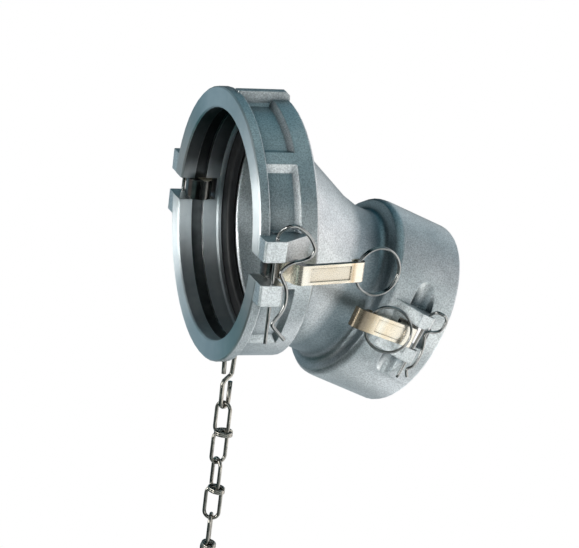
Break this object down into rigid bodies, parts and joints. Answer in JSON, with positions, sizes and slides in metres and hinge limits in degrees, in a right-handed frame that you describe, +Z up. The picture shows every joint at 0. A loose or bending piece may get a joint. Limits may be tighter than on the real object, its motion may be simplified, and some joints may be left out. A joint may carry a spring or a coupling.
{
  "type": "cam and groove elbow adapter",
  "caption": "One-piece cast reducing elbow with a large and a small cam and groove coupler, cam arms, pull rings, safety clips and a short hanging chain.",
  "frame": {"origin": "centre of the large coupler's mouth face, on its bore axis", "axes": "+X from the large mouth into the body along the large bore; +Z up, the chain hangs along -Z; the small coupler dips 22.5 degrees below +X in the XZ plane"},
  "size_m": [0.1945, 0.2392, 0.4015],
  "materials": {
    "cast_aluminium": "as-cast, grainy, with machined mouths",
    "pale_brass": "cast, tumbled",
    "bright_steel": "drawn wire and rod",
    "chain_steel": "dull plated wire",
    "rubber": "matt"
  },
  "bodies": {
    "casting": {"body_casting": "cast_aluminium", "large_gasket": "rubber", "small_gasket": "rubber", "large_pin_near": "bright_steel", "large_clip_near": "bright_steel", "large_pin_far": "bright_steel", "large_clip_far": "bright_steel", "small_pin_near": "bright_steel", "small_clip_near": "bright_steel", "small_pin_far": "bright_steel", "small_clip_far": "bright_steel"},
    "large_arm_near": {"large_cam_arm_near": "pale_brass"},
    "large_ring_near": {"large_pull_ring_near": "bright_steel"},
    "large_arm_far": {"large_cam_arm_far": "pale_brass"},
    "large_ring_far": {"large_pull_ring_far": "bright_steel"},
    "small_arm_near": {"small_cam_arm_near": "pale_brass"},
    "small_ring_near": {"small_pull_ring_near": "bright_steel"},
    "small_arm_far": {"small_cam_arm_far": "pale_brass"},
    "small_ring_far": {"small_pull_ring_far": "bright_steel"},
    "chain_hook": {"chain_hook": "chain_steel"},
    "chain_link_1": {"chain_link_1": "chain_steel"},
    "chain_link_2": {"chain_link_2": "chain_steel"},
    "chain_link_3": {"chain_link_3": "chain_steel"}
  },
  "joints": [
    {"name": "large_arm_near_pivot", "type": "hinge", "parent": "casting", "child": "large_arm_near", "pos_m": [0.0145, -0.098, 0], "axis": [0, 0, -1], "range_deg": [0, 10]},
    {"name": "large_ring_near_swing", "type": "hinge", "parent": "large_arm_near", "child": "large_ring_near", "pos_m": [0.07792, -0.10613, 0], "axis": [0, 0, -1], "range_deg": [-60, 150]},
    {"name": "large_arm_far_pivot", "type": "hinge", "parent": "casting", "child": "large_arm_far", "pos_m": [0.0145, 0.098, 0], "axis": [0, 0, 1], "range_deg": [0, 10]},
    {"name": "large_ring_far_swing", "type": "hinge", "parent": "large_arm_far", "child": "large_ring_far", "pos_m": [0.07792, 0.10613, 0], "axis": [0, 0, 1], "range_deg": [-60, 150]},
    {"name": "small_arm_near_pivot", "type": "hinge", "parent": "casting", "child": "small_arm_near", "pos_m": [0.14112, -0.07, -0.06123], "axis": [0.3827, 0, 0.9239], "range_deg": [0, 14]},
    {"name": "small_ring_near_swing", "type": "hinge", "parent": "small_arm_near", "child": "small_ring_near", "pos_m": [0.1015, -0.08413, -0.04797], "axis": [0.3173, 0, 0.9483], "range_deg": [-165, 5]},
    {"name": "small_arm_far_pivot", "type": "hinge", "parent": "casting", "child": "small_arm_far", "pos_m": [0.14112, 0.07, -0.06123], "axis": [-0.3827, 0, -0.9239], "range_deg": [0, 14]},
    {"name": "small_ring_far_swing", "type": "hinge", "parent": "small_arm_far", "child": "small_ring_far", "pos_m": [0.1015, 0.08413, -0.04797], "axis": [-0.3173, 0, -0.9483], "range_deg": [-165, 5]},
    {"name": "chain_hook_swing", "type": "hinge", "parent": "casting", "child": "chain_hook", "pos_m": [0.0257, 0, -0.1051], "axis": [1, 0, 0], "range_deg": [-40, 40]},
    {"name": "chain_link_1_swing", "type": "hinge", "parent": "chain_hook", "child": "chain_link_1", "pos_m": [0.0257, 0, -0.1506], "axis": [0.891, 0.454, 0], "range_deg": [-25, 25]},
    {"name": "chain_link_2_swing", "type": "hinge", "parent": "chain_link_1", "child": "chain_link_2", "pos_m": [0.0257, 0, -0.1948], "axis": [0.1564, -0.9877, 0], "range_deg": [-40, 40]},
    {"name": "chain_link_3_swing", "type": "hinge", "parent": "chain_link_2", "child": "chain_link_3", "pos_m": [0.0257, 0, -0.2459], "axis": [0.891, -0.454, 0], "range_deg": [-40, 40]}
  ]
}
